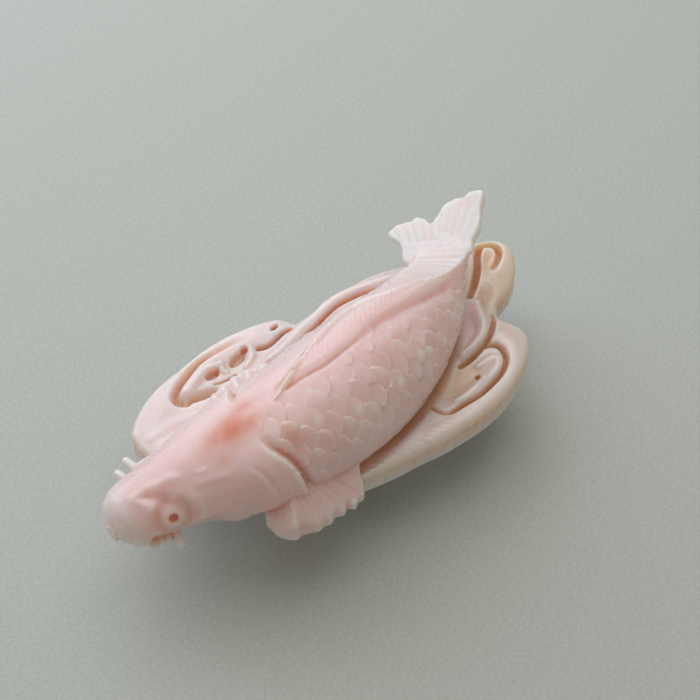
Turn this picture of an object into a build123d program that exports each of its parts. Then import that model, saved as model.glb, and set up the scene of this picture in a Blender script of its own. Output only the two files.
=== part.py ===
from build123d import *
import os
from math import atan2, cos, radians, sin

# An obidome, the ornament that slides along the cord of a kimono sash: a carp on a bed of
# waves, carved from one piece of pale coral, with one plain metal fitting behind it.
# Lengths are in millimetres. The carp swims along X with its head at -X and its left
# flank at -Y. The fitting stands on Z = 0 and the back of the carving is flat.

# Fitting behind the carving, a passage for a flat cord 9 mm wide
CORD_SLOT_WIDTH = 10.4
CORD_SLOT_HEIGHT = 4.4
STRAP_THICK = 0.8
LEG_THICK = 1.0
BRIDGE_LENGTH = 3.2
PLATE_THICK = 0.8
PLATE_LENGTH = 14.0
FITTING_CENTRE = (-0.5, -0.8)

# Heights of the carving
BACK_Z = STRAP_THICK + CORD_SLOT_HEIGHT + PLATE_THICK
BASE_TOP_Z = BACK_Z + 2.7
RIM_RADIUS = 0.8
BACK_EDGE = 0.4
FIN_THICK = 1.0

# Stations of the carp's body, from the lips to the root of the tail. The roll turns the
# back towards the left flank, which twists the tail until it lies nearly flat.
# x, y, z of the middle, half width, half depth, roll in degrees
BODY_STATIONS = [
    (-27.7, 0.3, 9.9, 1.3, 1.2, 0),
    (-26.6, 0.1, 10.1, 2.6, 2.3, 0),
    (-24.0, -0.7, 10.5, 3.5, 3.2, 0),
    (-20.0, -1.9, 11.1, 4.3, 4.1, 0),
    (-15.5, -3.2, 11.5, 5.2, 4.9, 0),
    (-10.5, -4.0, 11.4, 5.8, 5.5, 0),
    (-5.0, -4.2, 11.3, 5.9, 5.6, 4),
    (1.0, -3.8, 11.3, 5.2, 5.1, 14),
    (5.6, -2.9, 11.5, 4.2, 4.1, 26),
    (9.2, -1.6, 12.1, 2.9, 3.0, 40),
    (12.3, 0.5, 13.2, 0.8, 3.4, 58),
]

# The gill covers stand proud of the shoulder behind them, by a step that fades to the lips
GILL_STEP = 0.45
GILL_STATION = 4
GILL_EDGE = [(-15.0, 2.5), (-14.2, -0.5), (-13.4, -3.5), (-13.0, -6.5), (-13.6, -10.5)]

# Outline of the wave bed, lobe by lobe, each from one notch to the next
FAR_LEFT_LOBE = [
    (-20.3, 5.6), (-19.6, 7.5), (-17.1, 9.0), (-14.4, 9.7), (-11.8, 9.8), (-9.2, 9.9),
    (-6.9, 9.7), (-4.8, 9.2), (-2.9, 8.5), (-1.5, 7.6), (-0.9, 6.2),
]
FAR_BAND = [
    (-0.9, 6.2), (0.9, 5.8), (2.7, 6.1), (5.1, 5.9), (7.5, 5.5), (9.6, 4.8), (12.3, 3.4),
    (15.5, 2.0),
]
TAIL_LOBE = [
    (15.5, 2.0), (18.0, 1.2), (19.7, 0.1), (20.2, -1.4), (19.3, -3.1), (17.3, -4.7),
    (15.6, -5.4), (13.7, -5.7),
]
RIGHT_LOBE = [
    (13.7, -5.7), (12.6, -6.8), (13.0, -8.3), (13.0, -9.6), (11.9, -11.1), (10.2, -12.1),
    (8.2, -12.8), (5.8, -13.3), (3.2, -13.3), (0.8, -13.0), (-1.3, -12.6), (-3.3, -12.0),
    (-5.4, -11.5), (-7.4, -10.9), (-9.9, -10.0),
]
HEAD_SIDE = [
    (-9.9, -10.0), (-13.0, -8.0), (-16.0, -5.0), (-18.8, -1.2), (-20.2, 2.6), (-20.3, 5.6),
]

# Grooves carved into the wave bed, and the crests that stand above it
CRESCENT = [
    (-11.9, 5.1), (-13.4, 5.1), (-14.9, 5.9), (-14.6, 7.1), (-12.9, 7.9), (-10.6, 8.3), (-8.1, 8.2),
]
FORK = [(-11.2, 6.2), (-9.9, 5.9), (-8.8, 5.7)]
LONG_GROOVE = [(-5.9, 3.8), (-2.7, 3.8), (-0.1, 3.95), (2.6, 4.0), (4.7, 3.8), (6.6, 3.2)]
RIGHT_SPIRAL = [
    (6.7, -8.4), (7.9, -8.7), (8.9, -9.5), (9.0, -10.5), (8.0, -11.3), (6.3, -11.8), (4.2, -11.9),
    (2.2, -11.7),
]
SPIRAL_END = [(0.6, -9.7), (0.5, -10.6), (1.1, -11.2), (1.9, -11.6)]
TONGUE_GROOVE = [(12.3, -6.7), (10.9, -7.4), (9.6, -8.2)]
TAIL_SPIRAL = [(15.4, -2.9), (16.4, -0.9), (17.7, -0.2), (18.6, -1.2), (17.6, -2.7)]
CURL_CREST = [(-14.2, 5.9), (-14.0, 6.8), (-12.6, 7.3), (-10.9, 7.6), (-9.3, 7.5)]
BAND_CREST = [
    (-5.4, 4.6), (-3.0, 4.4), (0.0, 4.7), (2.6, 4.9), (5.0, 4.7), (7.4, 4.0), (9.4, 3.0),
]
TONGUE_CREST = [(11.6, -5.6), (10.6, -7.0), (9.4, -7.7), (7.9, -7.8), (6.6, -7.6)]
SPIRAL_CREST = [(7.2, -9.7), (8.1, -10.1), (7.2, -10.7), (5.0, -11.0), (2.6, -10.6), (1.5, -10.5)]
# middle line, width, depth
GROOVES = [
    (CRESCENT, 0.55, 1.2), (FORK, 0.35, 0.8), (LONG_GROOVE, 0.7, 1.3), (RIGHT_SPIRAL, 0.7, 1.3),
    (SPIRAL_END, 0.35, 0.8), (TONGUE_GROOVE, 0.5, 1.0), (TAIL_SPIRAL, 0.6, 1.1),
]
# middle line, width, height above the bed
CRESTS = [
    (CURL_CREST, 0.7, 0.4), (BAND_CREST, 0.8, 0.5), (TONGUE_CREST, 0.9, 0.6), (SPIRAL_CREST, 0.7, 0.5),
]

# Hollows that the waves curl around
# x, y, length, width, turn in degrees, whether it is cut right through
HOLLOWS = [
    (-12.7, 5.9, 1.7, 0.8, 20, False),
    (-10.3, 6.7, 1.7, 1.0, 10, False),
    (-7.5, 6.3, 1.9, 1.2, 35, True),
    (-4.9, 5.2, 2.3, 0.9, -5, True),
    (-2.5, 4.95, 1.9, 0.7, -12, True),
    (-3.1, 6.5, 0.9, 0.5, 10, True),
    (5.6, -10.1, 0.9, 0.5, 20, False),
]
HOLLOW_DEPTH = 1.6

# Pectoral fins, seen from above, and the heights between which each is carved
NEAR_PECTORAL = [
    (-14.6, -6.6), (-17.2, -7.0), (-17.9, -8.4), (-17.6, -9.7), (-16.6, -10.6), (-14.6, -11.2),
    (-13.2, -11.1), (-11.9, -11.6), (-10.5, -11.7), (-9.5, -11.1), (-9.4, -10.0), (-8.4, -8.6),
]
NEAR_PECTORAL_Z = (BACK_Z + 1.3, BACK_Z + 2.9)
FAR_PECTORAL = [
    (-13.4, 0.5), (-13.5, 3.6), (-12.6, 4.7), (-11.3, 5.2), (-9.9, 5.3), (-8.2, 4.9), (-6.6, 4.0),
    (-5.8, 2.6), (-6.0, 0.5),
]
FAR_PECTORAL_Z = (BACK_Z + 1.0, BACK_Z + 3.9)

# Dorsal fin, folded down over the right flank, seen from above
DORSAL_FIN = [
    (-12.6, -3.7), (-7.4, -4.6), (-3.8, -4.4), (-0.4, -4.6), (3.2, -4.6), (3.6, -3.4),
    (1.2, -2.2), (-2.4, -1.4), (-6.8, -0.6), (-9.8, -2.2),
]
DORSAL_STEP = 0.55

# Tail fin in its own tilted plane: along the tail, across towards the upper lobe
TAIL_ROOT = (11.9, 0.5, 13.3)
TAIL_NORMAL = (-0.39, 0.15, 0.906)
TAIL_HEADING = 38.0
TAIL_FIN = [
    (-1.5, -2.6), (0.2, -3.2), (0.9, -3.6), (2.0, -4.6), (2.8, -3.7), (2.9, -2.6), (3.2, -1.5),
    (2.3, -0.4), (2.9, 0.2), (3.7, 0.6), (4.4, 1.7), (4.4, 2.6), (4.8, 3.4), (4.7, 4.6),
    (2.4, 4.4), (0.8, 4.2), (-0.3, 3.6), (-1.5, 3.0),
]

# Eyes and barbels, left and right
EYE_RADIUS = 1.1
EYES = [(-24.3, -3.5, 11.8), (-22.75, 1.85, 11.8)]
# root, tip
BARBELS = [
    ((-25.4, -1.6, 9.2), (-26.0, -3.2, 8.2)),
    ((-23.4, -2.6, 9.0), (-24.1, -4.6, 8.2)),
    ((-24.6, 1.4, 9.6), (-25.3, 3.8, 9.4)),
    ((-22.6, 1.8, 9.8), (-22.9, 4.4, 9.8)),
]
BARBEL_RADII = (0.6, 0.3)


def prism(face, low, high):
    """The solid between two heights over a face drawn in plan."""
    return extrude(Pos(0, 0, low) * face, amount=high - low)


def plan_face(*lobes):
    """A face whose edge is one smooth curve for each lobe, with corners between them."""
    return make_face([Spline(*lobe) for lobe in lobes])


def stroke(points, width):
    """A band of one width about a line of points in plan."""
    left = []
    right = []
    for i, (x, y) in enumerate(points):
        before = points[max(i - 1, 0)]
        after = points[min(i + 1, len(points) - 1)]
        heading = atan2(after[1] - before[1], after[0] - before[0])
        dx = -sin(heading) * width / 2
        dy = cos(heading) * width / 2
        left.append((x + dx, y + dy))
        right.append((x - dx, y - dy))
    ends = [Line(left[-1], right[-1]), Line(right[0], left[0])]
    return make_face([Spline(*left), ends[0], Spline(*reversed(right)), ends[1]])


def body_sections(growth=None):
    """One ellipse for each station, square to the line of the middles."""
    growth = growth or [0.0] * len(BODY_STATIONS)
    middles = [Vector(*row[:3]) for row in BODY_STATIONS]
    sections = []
    for i, row in enumerate(BODY_STATIONS):
        half_width, half_depth, roll = row[3:]
        along = (middles[min(i + 1, len(middles) - 1)] - middles[max(i - 1, 0)]).normalized()
        side = Vector(0, 0, 1).cross(along).normalized()
        up = along.cross(side)
        turn = radians(roll)
        across = side * cos(turn) + up * sin(turn)
        plane = Plane(origin=middles[i], x_dir=across, z_dir=along)
        sections.append(plane * Ellipse(half_width + growth[i], half_depth + growth[i]))
    return sections


def koi_body():
    """Body and head, with the gill covers and the folded dorsal fin standing proud."""
    count = len(BODY_STATIONS)
    body = loft(body_sections())
    far_left = (-40.0, 20.0)
    near_left = (-40.0, -20.0)
    corners = [GILL_EDGE[-1], near_left, far_left, GILL_EDGE[0]]
    head_area = make_face([Spline(*GILL_EDGE), Polyline(*corners)])
    head_growth = [GILL_STEP * min(i / GILL_STATION, 1.0) for i in range(count)]
    head = loft(body_sections(head_growth)[:GILL_STATION + 3]) & prism(head_area, 0, 30)
    fin_area = make_face(Polyline(*DORSAL_FIN, close=True))
    dorsal = loft(body_sections([DORSAL_STEP] * count)) & prism(fin_area, 12, 30)
    return body + head + dorsal


def eyes():
    return [Pos(*place) * Sphere(EYE_RADIUS) for place in EYES]


def barbels():
    cones = []
    for root, tip in BARBELS:
        way = Vector(*tip) - Vector(*root)
        plane = Plane(origin=root, z_dir=way.normalized())
        base_align = (Align.CENTER, Align.CENTER, Align.MIN)
        cones.append(plane * Cone(BARBEL_RADII[0], BARBEL_RADII[1], way.length, align=base_align))
    return cones


def tail_fin():
    heading = radians(TAIL_HEADING)
    normal = Vector(*TAIL_NORMAL).normalized()
    level = Vector(cos(heading), sin(heading), 0)
    along = (level - normal * level.dot(normal)).normalized()
    plane = Plane(origin=TAIL_ROOT, x_dir=along, z_dir=normal)
    outline = make_face(Polyline(*[(u, -v) for u, v in TAIL_FIN], close=True))
    return extrude(plane * outline, amount=FIN_THICK / 2, both=True)


def pectoral_fins():
    near = make_face(Polyline(*NEAR_PECTORAL, close=True))
    far = make_face(Polyline(*FAR_PECTORAL, close=True))
    return [prism(near, *NEAR_PECTORAL_Z), prism(far, *FAR_PECTORAL_Z)]


def wave_bed():
    """The bed with its crests, grooves, hollows and pierced holes."""
    outline = plan_face(FAR_LEFT_LOBE, FAR_BAND, TAIL_LOBE, RIGHT_LOBE, HEAD_SIDE)
    bed = prism(outline, BACK_Z, BASE_TOP_Z)
    bed = fillet(bed.faces().sort_by(Axis.Z)[-1].outer_wire().edges(), RIM_RADIUS)
    bed = chamfer(bed.faces().sort_by(Axis.Z)[0].outer_wire().edges(), BACK_EDGE)
    for points, width, height in CRESTS:
        bed += prism(stroke(points, width), BASE_TOP_Z - 0.5, BASE_TOP_Z + height)
    for points, width, depth in GROOVES:
        bed -= prism(stroke(points, width), BASE_TOP_Z - depth, BASE_TOP_Z + 2)
    for x, y, length, width, turn, pierced in HOLLOWS:
        floor = BACK_Z - 1 if pierced else BASE_TOP_Z - HOLLOW_DEPTH
        shape = Pos(x, y) * Rot(0, 0, turn) * Ellipse(length / 2, width / 2)
        bed -= prism(shape, floor, BASE_TOP_Z + 2)
    return bed


def coral_carving():
    """The one piece of coral: the carp is cut level with the flat back, then joined to the bed."""
    below = Pos(0, 0, BACK_Z) * Box(90, 90, 20, align=(Align.CENTER, Align.CENTER, Align.MAX))
    carving = wave_bed()
    for piece in [koi_body(), tail_fin(), *pectoral_fins(), *eyes(), *barbels()]:
        carving += piece - below
    return carving


def back_fitting():
    """A plate against the flat back and two bridges that the cord passes under."""
    width = CORD_SLOT_WIDTH + 2 * LEG_THICK
    low = (Align.CENTER, Align.CENTER, Align.MIN)
    plate = Pos(0, 0, BACK_Z - PLATE_THICK) * Box(PLATE_LENGTH, width, PLATE_THICK, align=low)
    reach = (PLATE_LENGTH - BRIDGE_LENGTH) / 2
    for x in (-reach, reach):
        bridge = Box(BRIDGE_LENGTH, width, BACK_Z, align=low)
        slot = Box(BRIDGE_LENGTH + 2, CORD_SLOT_WIDTH, CORD_SLOT_HEIGHT, align=low)
        plate += Pos(x, 0, 0) * (bridge - Pos(0, 0, STRAP_THICK) * slot)
    return Pos(*FITTING_CENTRE, 0) * plate


nodes = {"coral_carving": coral_carving(), "back_fitting": back_fitting()}
box = (nodes["coral_carving"] + nodes["back_fitting"]).bounding_box()
to_origin = Pos(-box.center().X, -box.center().Y, 0)

os.makedirs("parts", exist_ok=True)
for name, solid in nodes.items():
    export_step(to_origin * solid, f"parts/{name}.step")
    print(name, "solids", len(solid.solids()), "volume", round(solid.volume, 1), "valid", solid.is_valid)
print("size", box.size, "origin shift", to_origin.position)
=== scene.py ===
from math import cos, radians, sin

import bpy
import numpy as np
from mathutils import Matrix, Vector


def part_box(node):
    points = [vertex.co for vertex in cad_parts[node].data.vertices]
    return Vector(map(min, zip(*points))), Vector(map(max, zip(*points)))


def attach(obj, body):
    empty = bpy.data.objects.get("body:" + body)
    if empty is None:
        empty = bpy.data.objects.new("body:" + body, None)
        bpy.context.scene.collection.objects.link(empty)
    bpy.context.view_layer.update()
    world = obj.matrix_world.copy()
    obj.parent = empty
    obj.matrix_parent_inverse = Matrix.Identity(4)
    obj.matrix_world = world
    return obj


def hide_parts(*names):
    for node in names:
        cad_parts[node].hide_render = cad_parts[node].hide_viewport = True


# An obidome: a carp on a bed of waves carved from one piece of pale coral, with a plain
# metal fitting behind it. The carving is sculpted as a field of signed distances, drawn
# off as one closed mesh, and set on the frame. Sculpting lengths are millimetres in the
# carver's frame: the carp swims along X with its head at -X, and its left flank is at -Y.
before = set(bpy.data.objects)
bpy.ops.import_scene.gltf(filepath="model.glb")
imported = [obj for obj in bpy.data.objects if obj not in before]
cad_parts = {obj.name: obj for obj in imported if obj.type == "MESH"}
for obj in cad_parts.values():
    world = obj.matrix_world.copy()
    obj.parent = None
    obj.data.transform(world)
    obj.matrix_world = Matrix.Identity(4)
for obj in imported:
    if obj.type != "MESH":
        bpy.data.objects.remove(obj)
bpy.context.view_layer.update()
MM = 0.001

# Heights and the fitting that ties the carver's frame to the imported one
BACK_Z = 6.0
BASE_TOP_Z = 8.7
FITTING_CENTRE = (-0.5, -0.8)

# Grid of the sculpture: its corners, its finest step, and how many cells each cell of the
# coarser grids is split into along an edge
GRID_LOW = (-29.2, -14.4, 5.6)
GRID_HIGH = (21.2, 10.8, 18.4)
FINE_STEP = 0.1
REFINEMENTS = (4, 2)
# A distance larger than any that matters, in millimetres or in scales
FAR_AWAY = 9.0
TRIANGLE_BUDGET = 190_000

# Sections of the body: x, y and z of the middle, half width, half depth, roll in degrees
BODY_STATIONS = [
    (-28.0, 0.35, 9.9, 1.9, 1.8, 0),
    (-26.6, 0.1, 10.1, 2.7, 2.4, 0),
    (-24.0, -0.7, 10.5, 3.5, 3.2, 0),
    (-20.0, -1.9, 11.1, 4.3, 4.1, 0),
    (-15.5, -3.2, 11.5, 5.2, 4.9, 0),
    (-10.5, -4.0, 11.4, 5.8, 5.5, 0),
    (-5.0, -4.2, 11.3, 5.9, 5.6, 4),
    (1.0, -3.8, 11.3, 5.2, 5.1, 14),
    (5.6, -2.9, 11.5, 4.2, 4.1, 26),
    (9.2, -1.6, 12.1, 2.9, 3.0, 40),
    (12.3, 0.5, 13.2, 0.5, 3.8, 69),
]
NOSE_X = -28.1
NOSE_CAP = 1.6
TAIL_END_X = 12.6
SAMPLED_TO_X = 13.5
BODY_SAMPLES = 900

# Edge of the gill covers, the same on both flanks: angle from the ridge of the back in degrees,
# station. Angles are positive on the left flank.
GILL_EDGE = [
    (0, -15.7), (28, -15.45), (40, -15.05), (52, -14.45), (61, -14.15), (70, -13.95), (90, -13.55),
    (110, -13.3),
]
GILL_STEP = 0.4
# Eye: station and angle, then radii of the ball and of the drilled pupil
EYE = (-23.35, 62)
EYE_RADIUS = 1.1
PUPIL_RADIUS = 0.36
# Marks on the left side of the head: height, width, then points as station, angle
HEAD_MARKS = [
    (0.15, 0.42, [(-22.0, 16), (-22.5, 13), (-23.4, 12), (-24.2, 10), (-25.0, 10), (-25.4, 11), (-25.2, 17),
                  (-24.8, 29), (-24.6, 37)]),
    (-0.17, 0.5, [(-24.4, 16), (-24.0, 23), (-23.3, 33)]),
    (0.07, 0.3, [(-20.5, 36), (-19.9, 38), (-18.4, 41)]),
    (-0.05, 0.35, [(-20.9, 43), (-19.9, 45), (-18.9, 49)]),
    (0.06, 0.24, [(-20.3, 25), (-19.8, 27)]),
    (0.06, 0.2, [(-18.9, 70), (-19.7, 70)]),
    (0.06, 0.2, [(-18.0, 86), (-18.8, 86)]),
    (-0.12, 0.3, [(-22.3, 42), (-22.0, 52), (-21.95, 64), (-22.3, 82)]),
    (0.07, 0.3, [(-21.4, 44), (-21.1, 56), (-21.1, 68), (-21.4, 82)]),
]
# The flat face of the root of the tail: station, lean towards the right flank in degrees,
# and height over the middle line of the body
FACET = [
    (4.0, 0, 9.0), (6.2, 4, 4.3), (7.7, 7, 3.2), (9.2, 10, 2.36), (10.8, 16, 1.25), (11.5, 20, 0.9),
    (12.3, 24, 0.6),
]

# Scales: rows round the body, spacing and radius of their edges in scale widths, then the tilt
# along, tilt across and lift of each one, by column and row
SCALE_ROWS = 16
SCALE_SPACING = 0.5
SCALE_ARC = 0.56
SCALE_SET = np.random.default_rng(11).uniform(-1, 1, (48, 48, 3))

# The back fin, folded down over the right flank. Lines along it are given as station, angle:
# where it leaves the back, its free edge, and the ridge that shows on the tail half.
DORSAL_RISE = 0.27
DORSAL_BASE = [
    (-12.9, -2.5), (-11.5, -3.0), (-10.1, -2.0), (-8.8, -1.0), (-7.4, 0.0), (-5.7, -2.0), (-3.5, -4.5),
    (-0.1, -9.0), (2.7, -8.0), (5.5, -3.0), (7.5, 3.0), (9.0, 8.0),
]
DORSAL_EDGE = [
    (-12.9, -4.0), (-11.0, -10.0), (-8.3, -20.0), (-6.5, -28.0), (-4.05, -38.0), (-1.9, -46.0),
    (-0.05, -51.0), (1.8, -49.0), (3.3, -40.0), (6.1, -35.0), (8.0, -24.0), (9.4, -14.0),
]
DORSAL_CREST = [
    (-4.5, -21), (-2.8, -20), (1.2, -21), (4.9, -21), (6.8, -20), (8.3, -18), (9.4, -14), (10.4, -6),
]
# Front and rear edge of the wedge of spines before it, as angle towards the right flank, station
DORSAL_SPINES = [
    [(0, -13.1), (4, -12.2), (13, -10.1), (20, -8.6)],
    [(1, -12.2), (5, -11.0), (18, -8.5), (20, -8.3)],
]

# Outline of the wave bed, lobe by lobe, each from one notch to the next
FAR_LEFT_LOBE = [
    (-20.3, 5.6), (-19.6, 7.5), (-17.1, 9.0), (-14.4, 9.7), (-11.8, 9.8), (-9.2, 9.9),
    (-6.9, 9.7), (-4.8, 9.2), (-2.9, 8.5), (-1.5, 7.6), (-0.9, 6.2),
]
FAR_BAND = [
    (-0.9, 6.2), (0.9, 5.8), (2.7, 6.1), (5.1, 5.9), (7.5, 5.5), (9.6, 4.8), (12.3, 3.4),
    (15.5, 2.0),
]
TAIL_LOBE = [
    (15.5, 2.0), (18.0, 1.2), (19.7, 0.1), (20.2, -1.4), (19.3, -3.1), (17.3, -4.7),
    (15.6, -5.4), (13.7, -5.7),
]
RIGHT_LOBE = [
    (13.7, -5.7), (12.6, -6.8), (13.0, -8.3), (13.0, -9.6), (11.9, -11.1), (10.2, -12.1),
    (8.2, -12.8), (5.8, -13.3), (3.2, -13.3), (0.8, -13.0), (-1.3, -12.6), (-3.3, -12.0),
    (-5.4, -11.5), (-7.4, -10.9), (-9.9, -10.0),
]
HEAD_SIDE = [
    (-9.9, -10.0), (-13.0, -8.0), (-16.0, -5.0), (-18.8, -1.2), (-20.2, 2.6), (-20.3, 5.6),
]
LOBES = [FAR_LEFT_LOBE, FAR_BAND, TAIL_LOBE, RIGHT_LOBE, HEAD_SIDE]

# Grooves in the bed: depth, width to the left and to the right of the way it runs, then
# points as x, y, share of the depth
GROOVES = [
    (1.0, 0.35, 1.1, [(-11.2, 5.3, 0.4), (-11.8, 5.5, 0.8), (-12.5, 5.7, 1.0), (-13.4, 6.05, 1.0),
                      (-14.1, 6.5, 1.0), (-14.5, 7.0, 0.9)]),
    (1.0, 0.75, 0.34, [(-14.1, 6.5, 1.0), (-14.5, 7.05, 1.0), (-14.1, 7.65, 1.0), (-13.2, 8.1, 1.0),
                       (-12.2, 8.4, 1.0), (-11.2, 8.7, 0.95), (-10.2, 8.85, 0.8), (-9.0, 8.75, 0.5),
                       (-7.6, 8.5, 0.4), (-6.4, 8.3, 0.3), (-5.5, 7.9, 0.15)]),
    (0.45, 0.24, 0.24, [(-10.9, 6.2, 0.6), (-10.3, 5.9, 1.0), (-9.6, 5.7, 1.0), (-8.9, 5.6, 0.6)]),
    (0.95, 0.34, 0.42, [(-5.3, 6.35, 0.8), (-4.6, 6.0, 1.0), (-3.7, 5.95, 0.7), (-2.6, 6.0, 1.0),
                        (-1.8, 5.9, 0.6)]),
    (0.8, 0.36, 0.4, [(-5.9, 4.15, 1.0), (-5.0, 4.0, 1.0), (-3.8, 3.8, 1.0), (-2.5, 3.9, 1.0),
                      (-1.2, 4.2, 1.0), (0.1, 4.4, 1.0), (1.1, 4.6, 1.0), (2.6, 4.75, 1.0),
                      (3.8, 4.65, 1.0), (4.9, 4.4, 1.0), (5.9, 4.1, 0.7), (6.9, 3.6, 0.3)]),
    (0.9, 0.4, 0.32, [(12.3, -6.4, 0.5), (11.9, -6.8, 0.8), (10.8, -7.5, 1.0), (9.7, -7.95, 1.0),
                      (8.7, -8.1, 1.0), (7.7, -8.2, 1.0), (6.8, -8.2, 0.9), (5.8, -8.1, 0.6)]),
    (1.0, 0.46, 0.3, [(8.6, -8.1, 0.8), (9.4, -8.5, 1.0), (9.75, -9.2, 1.0), (9.5, -10.1, 1.0),
                      (8.9, -10.8, 1.0), (8.0, -11.25, 1.0), (7.0, -11.5, 1.0), (6.0, -11.6, 1.0),
                      (5.0, -11.65, 0.85), (4.2, -11.6, 0.85), (3.4, -11.45, 1.0), (2.6, -11.3, 1.2),
                      (1.9, -11.2, 0.8), (1.2, -11.1, 0.5)]),
    (0.6, 0.3, 0.45, [(1.9, -11.4, 0.4), (1.1, -11.2, 0.8), (0.6, -10.7, 0.8), (0.5, -10.0, 0.9),
                      (0.5, -9.3, 1.0)]),
    (1.2, 0.5, 0.5, [(12.6, -3.3, 0.6), (14.0, -2.6, 0.8), (15.1, -1.9, 1.0), (16.2, -1.1, 1.0),
                     (17.1, -0.3, 0.9), (18.1, 0.25, 1.0), (18.8, -0.1, 1.0), (19.1, -0.7, 1.0),
                     (18.9, -1.4, 0.9), (18.1, -2.0, 0.6), (17.0, -2.4, 0.3)]),
]
# Ridges on the bed: height, then points as x, y, half width
RIDGES = [
    (0.28, [(-14.0, 6.6, 0.2), (-13.5, 7.0, 0.32), (-12.6, 7.4, 0.34), (-11.8, 7.6, 0.3),
            (-10.8, 7.85, 0.3), (-10.0, 7.75, 0.25), (-9.2, 7.5, 0.2)]),
    (0.25, [(-8.8, 7.5, 0.14), (-9.3, 6.9, 0.2), (-9.2, 6.4, 0.16)]),
    (0.3, [(-5.8, 7.0, 0.18), (-6.1, 6.4, 0.24), (-6.8, 5.9, 0.2), (-7.7, 5.6, 0.16)]),
    (0.45, [(-5.6, 4.6, 0.3), (-4.2, 4.6, 0.4), (-2.4, 4.75, 0.42), (-0.7, 5.1, 0.45), (1.2, 5.35, 0.45),
            (2.9, 5.45, 0.45), (4.4, 5.25, 0.45), (5.7, 4.8, 0.45), (7.9, 3.9, 0.45), (10.0, 3.0, 0.4)]),
    (1.1, [(-4.4, 2.5, 0.35), (-1.4, 2.8, 0.5), (1.2, 3.1, 0.55), (2.7, 3.1, 0.55), (4.2, 2.7, 0.5),
           (5.8, 2.0, 0.35)]),
    (0.6, [(12.2, -4.6, 0.3), (11.6, -5.2, 0.42), (10.9, -6.3, 0.42), (10.1, -7.1, 0.4),
           (9.1, -7.5, 0.36), (7.9, -7.65, 0.3), (6.7, -7.6, 0.25)]),
    (0.3, [(6.9, -9.3, 0.22), (7.9, -9.5, 0.32), (8.5, -9.9, 0.32), (8.2, -10.5, 0.32),
           (7.4, -10.85, 0.32), (6.3, -10.95, 0.3), (5.0, -10.85, 0.3), (3.7, -10.8, 0.28),
           (2.5, -10.6, 0.22)]),
    (0.22, [(10.8, -8.8, 0.6), (10.6, -10.4, 0.6), (9.4, -11.6, 0.6), (7.5, -12.3, 0.5),
            (5.7, -12.6, 0.5), (3.9, -12.7, 0.5), (2.0, -12.6, 0.5), (0.2, -12.2, 0.5),
            (-1.8, -11.8, 0.5)]),
    (0.15, [(-19.0, 5.6, 0.35), (-16.6, 5.5, 0.45), (-15.1, 5.0, 0.35), (-13.7, 4.4, 0.3)]),
    (0.12, [(-19.0, 4.4, 0.35), (-17.0, 4.1, 0.4), (-15.0, 3.6, 0.3)]),
]
# Hollows: x, y, half length, half width, turn in degrees, depth. A deep one goes through.
PIERCED = 4.0
HOLLOWS = [
    (-10.3, 7.15, 0.85, 0.5, 0, 0.75),
    (-7.5, 6.85, 1.15, 0.6, 8, 0.75),
    (-6.4, 7.15, 0.45, 0.38, 0, 0.85),
    (-2.7, 7.0, 0.5, 0.24, 8, PIERCED),
    (6.0, -10.05, 0.32, 0.24, 20, 1.0),
]

# Wide shallow dips: x, y, half length, half width, turn in degrees, depth
DIPS = [
    (5.0, -9.4, 4.8, 1.9, 12, 0.4),
    (-8.6, 6.8, 6.6, 2.0, -6, 0.22),
    (17.2, -1.5, 2.4, 1.5, 35, 0.5),
    (13.5, -4.4, 2.2, 1.0, 35, 0.35),
]

# Outlines of the left and the right breast fin in plan
NEAR_PECTORAL = [
    (-15.6, -6.6), (-17.6, -7.2), (-17.9, -8.4), (-17.8, -9.3), (-17.35, -10.05), (-16.9, -10.4),
    (-16.45, -10.35), (-15.8, -10.65), (-15.1, -11.1), (-14.5, -11.05), (-13.9, -11.3), (-13.2, -11.1),
    (-12.5, -11.45), (-11.9, -11.2), (-11.4, -11.7), (-10.8, -11.45), (-10.2, -11.5), (-9.7, -11.0),
    (-9.4, -10.3), (-8.4, -8.8), (-9.0, -7.0),
]
FAR_PECTORAL = [
    (-13.4, -0.8), (-13.5, 3.4), (-12.9, 4.5), (-12.0, 5.0), (-11.0, 5.15), (-9.8, 5.1), (-8.6, 4.8),
    (-7.2, 4.1), (-6.2, 2.8), (-6.0, -0.8),
]

# The tail fin: middle of its root, the way its face looks, its heading in plan in degrees, and
# its outline as distances along that heading and across it
TAIL_ROOT = (11.9, 0.5, 13.25)
TAIL_NORMAL = (-0.39, 0.15, 0.906)
TAIL_HEADING = 38.0
TAIL_FIN = [
    (-1.5, -2.6), (0.2, -3.2), (0.9, -3.6), (2.0, -4.6), (2.8, -3.7), (2.9, -2.6), (3.2, -1.5),
    (2.3, -0.4), (2.9, 0.2), (3.7, 0.6), (4.4, 1.7), (4.4, 2.6), (4.8, 3.4), (4.7, 4.6),
    (2.4, 4.4), (0.8, 4.2), (-0.3, 3.6), (-1.5, 3.0),
]

# Barbels round the mouth: root and tip, then the radii at both ends
BARBELS = [
    ((-25.6, -1.8, 9.3), (-26.1, -2.9, 8.7)),
    ((-25.1, -2.0, 9.2), (-25.4, -3.0, 8.8)),
    ((-24.5, -2.3, 9.2), (-24.8, -3.2, 8.7)),
    ((-23.8, -2.7, 9.2), (-24.3, -4.1, 8.4)),
    ((-24.0, 2.0, 10.4), (-24.1, 3.7, 10.5)),
    ((-22.7, 2.6, 10.4), (-22.75, 4.2, 10.5)),
]
BARBEL_RADII = (0.5, 0.36)

# Boxes that hold the slender parts: low corner, high corner
TAIL_BOX = ((9.0, -5.0, 11.0), (17.5, 7.5, 17.8))
BARBEL_BOX = ((-26.8, -4.8, 7.9), (-21.8, 5.2, 11.2))
NEAR_PECTORAL_BOX = ((-18.2, -12.0, 7.0), (-8.0, -6.0, 12.2))
FAR_PECTORAL_BOX = ((-13.8, -1.2, 6.2), (-5.4, 5.6, 11.8))

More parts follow.
